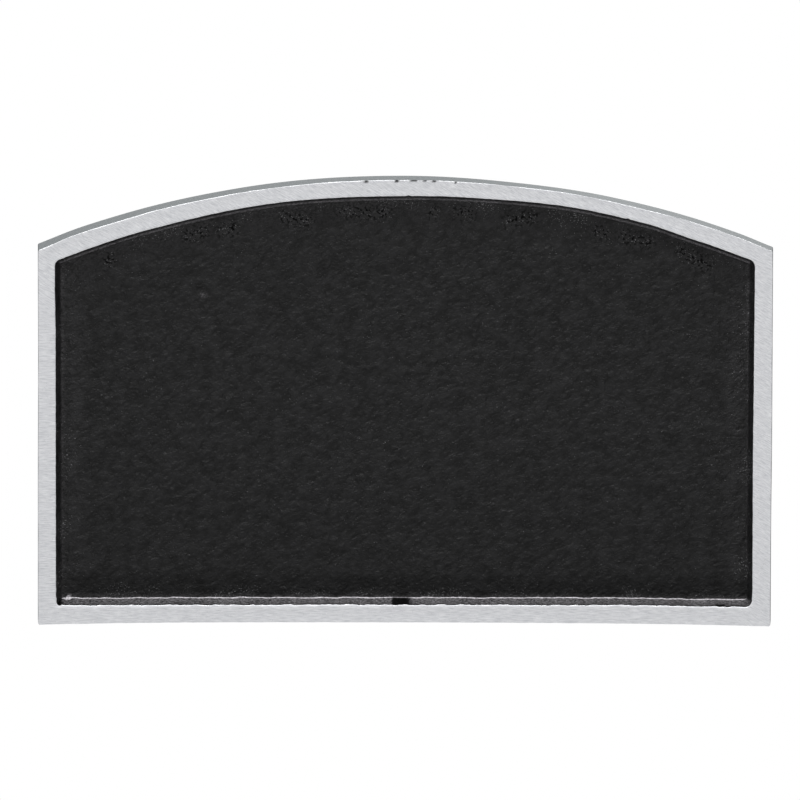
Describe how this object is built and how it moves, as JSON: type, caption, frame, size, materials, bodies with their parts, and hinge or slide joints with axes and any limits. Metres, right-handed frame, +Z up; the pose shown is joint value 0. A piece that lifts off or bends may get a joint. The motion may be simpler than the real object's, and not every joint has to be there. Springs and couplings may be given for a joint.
{
  "type": "no smoking sign",
  "caption": "Arched cast aluminium wall sign with a raised rim round a sunk black panel and blind stud holes in its flat back.",
  "frame": {"origin": "on the back face, midway between the two stud holes", "axes": "the front faces -Y, +X is to the viewer's right, +Z is up, and the back face lies on y = 0"},
  "size_m": [0.229, 0.009, 0.1405],
  "materials": {
    "casting": "sanded bright on the raised faces, as cast on the edges and back",
    "enamel": "satin black with an orange-peel texture, on the panel and the walls round it"
  },
  "bodies": {
    "root": {"plaque": "casting"}
  },
  "joints": []
}
